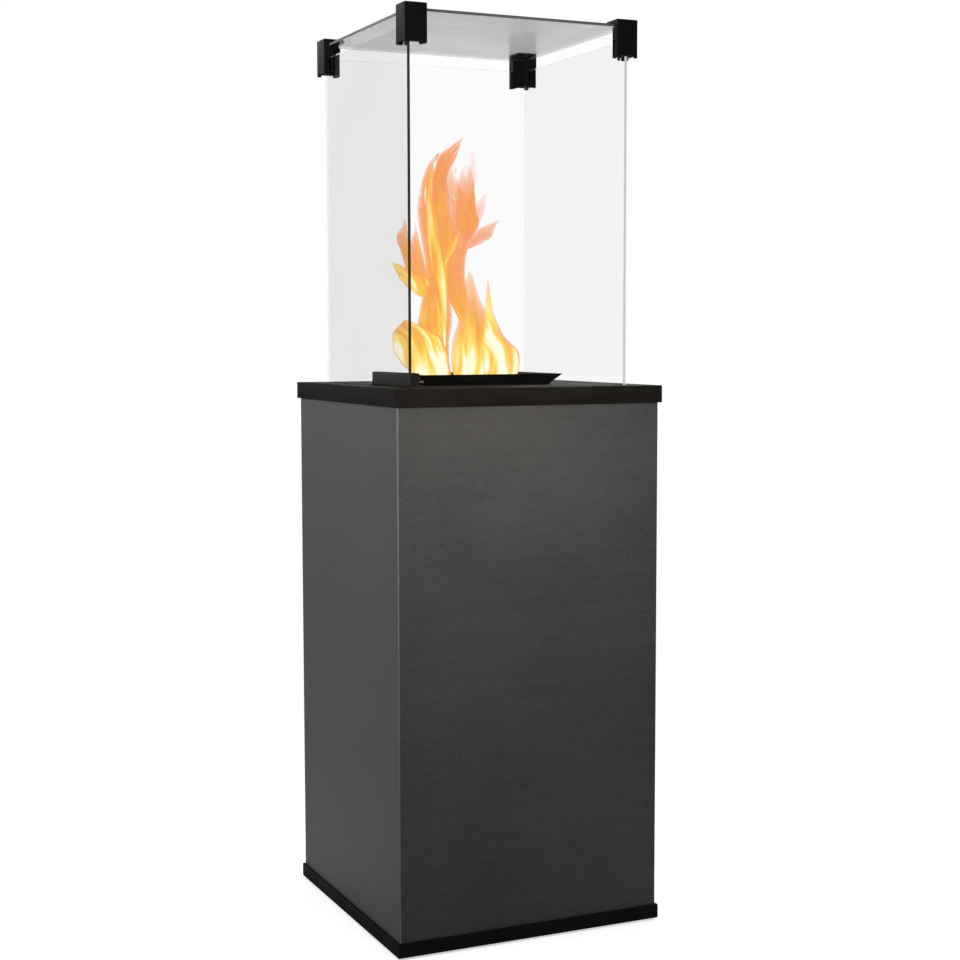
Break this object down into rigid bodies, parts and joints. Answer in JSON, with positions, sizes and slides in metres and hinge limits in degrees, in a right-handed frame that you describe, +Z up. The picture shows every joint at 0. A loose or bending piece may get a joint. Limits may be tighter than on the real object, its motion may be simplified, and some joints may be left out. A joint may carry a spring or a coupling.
{
  "type": "gas patio heater",
  "caption": "Square steel cabinet for a gas cylinder, with a rear door and a flared burner inside a glass flame chamber held by corner clips.",
  "frame": {"origin": "on the floor, under the middle of the square footprint", "axes": "+Z up, the front faces -Y, the rear door faces +Y"},
  "size_m": [0.418, 0.418, 1.321],
  "materials": {
    "graphite_steel": "graphite textured steel with a fine level grain, low sheen",
    "black_steel": "satin black powder coat",
    "dark_steel": "matt black paint",
    "stainless_steel": "plain stainless steel",
    "brass": "machined brass",
    "copper": "drawn copper tube",
    "glass": "clear toughened glass with polished edges",
    "rubber": "matt black rubber",
    "ceramic": "glazed ceramic sleeve",
    "black_plastic": "moulded black plastic, fine matt",
    "red_plastic": "moulded red plastic"
  },
  "bodies": {
    "cabinet": {"base_plinth": "black_steel", "feet": "rubber", "foot_screws": "stainless_steel", "floor_plate": "dark_steel", "cabinet_wrap": "graphite_steel", "corner_posts": "dark_steel", "rear_sill": "graphite_steel", "rear_header": "graphite_steel", "top_tray": "black_steel", "hearth_plate": "black_steel", "heat_shield": "stainless_steel", "glass_gasket": "rubber", "front_glass": "glass", "rear_glass": "glass", "left_glass": "glass", "right_glass": "glass", "top_glass": "glass", "clip_front_left": "black_steel", "clip_front_right": "black_steel", "clip_rear_left": "black_steel", "clip_rear_right": "black_steel", "clip_pads": "rubber", "clip_screws": "stainless_steel", "burner_dish": "black_steel", "burner_box": "stainless_steel", "burner_plate": "stainless_steel", "burner_screws": "stainless_steel", "venturi_tube": "stainless_steel", "injector_bracket": "stainless_steel", "injector": "brass", "igniter_housing": "black_steel", "pilot_bracket": "stainless_steel", "pilot_burner": "brass", "thermocouple": "copper", "spark_electrode": "ceramic", "gas_valve": "brass", "inlet_fitting": "brass", "main_gas_tube": "copper", "pilot_tube": "copper", "thermocouple_lead": "copper", "spark_lead": "red_plastic", "control_panel": "black_steel", "valve_screws": "stainless_steel", "dial_ring": "stainless_steel", "igniter_body": "black_plastic", "igniter_bezel": "stainless_steel", "door_magnets": "dark_steel", "pivot_pins": "stainless_steel", "pivot_washers": "stainless_steel"},
    "door": {"rear_door": "graphite_steel", "strike_plates": "stainless_steel"},
    "stem": {"valve_stem": "stainless_steel"},
    "knob": {"control_knob": "black_plastic"},
    "button": {"igniter_button": "red_plastic"}
  },
  "joints": [
    {"name": "door_hinge", "type": "hinge", "parent": "cabinet", "child": "door", "pos_m": [-0.172, 0.198, 0.395], "axis": [0, 0, 1], "range_deg": [0, 110]},
    {"name": "knob_push", "type": "slide", "parent": "cabinet", "child": "stem", "axis": [0, -1, 0], "range_m": [0, 0.003], "stiffness_N_per_m": 600},
    {"name": "knob_turn", "type": "hinge", "parent": "stem", "child": "knob", "pos_m": [0, 0.164, 0.6965], "axis": [0, 1, 0], "range_deg": [0, 180]},
    {"name": "igniter_push", "type": "slide", "parent": "cabinet", "child": "button", "axis": [0, -1, 0], "range_m": [0, 0.004], "stiffness_N_per_m": 600}
  ]
}
